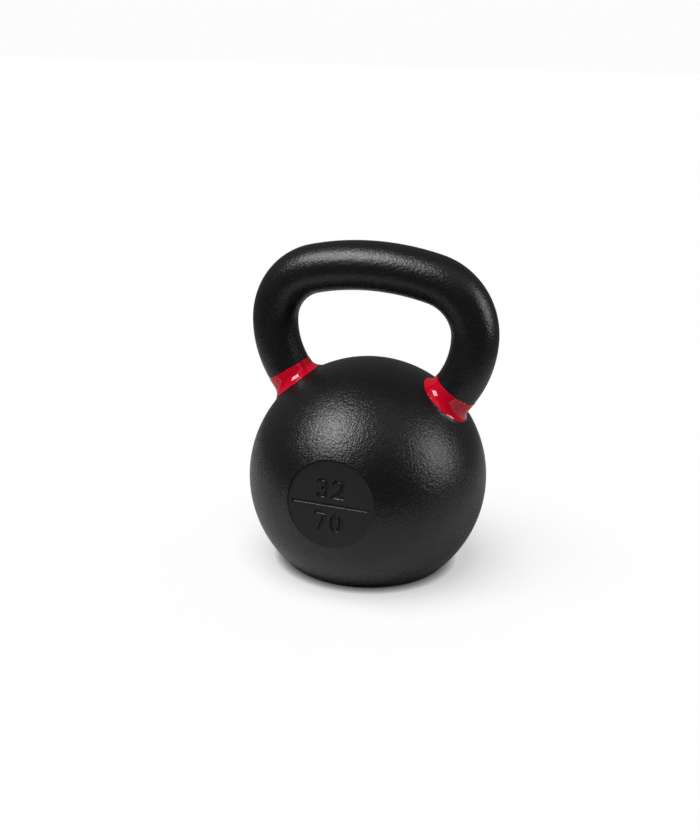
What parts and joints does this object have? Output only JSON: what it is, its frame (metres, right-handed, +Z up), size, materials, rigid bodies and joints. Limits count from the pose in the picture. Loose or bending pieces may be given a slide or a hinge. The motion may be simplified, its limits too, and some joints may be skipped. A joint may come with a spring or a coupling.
{
  "type": "kettlebell",
  "caption": "Cast-iron kettlebell with a black powder coat, flat base, arched handle, red colour bands at the horn roots and a numbered weight disc.",
  "frame": {"origin": "centre of the flat base, on the floor plane", "axes": "+Z up from the base to the grip, +X along the grip towards the right horn as seen from the front, -Y out of the front, where the weight disc is"},
  "size_m": [0.2094, 0.1961, 0.2713],
  "materials": {
    "powder_coat": "satin black powder coat with a fine orange-peel grain",
    "red_band": "high gloss red"
  },
  "bodies": {
    "root": {"ball": "powder_coat", "handle": "powder_coat", "left_band": "red_band", "right_band": "red_band"}
  },
  "joints": []
}
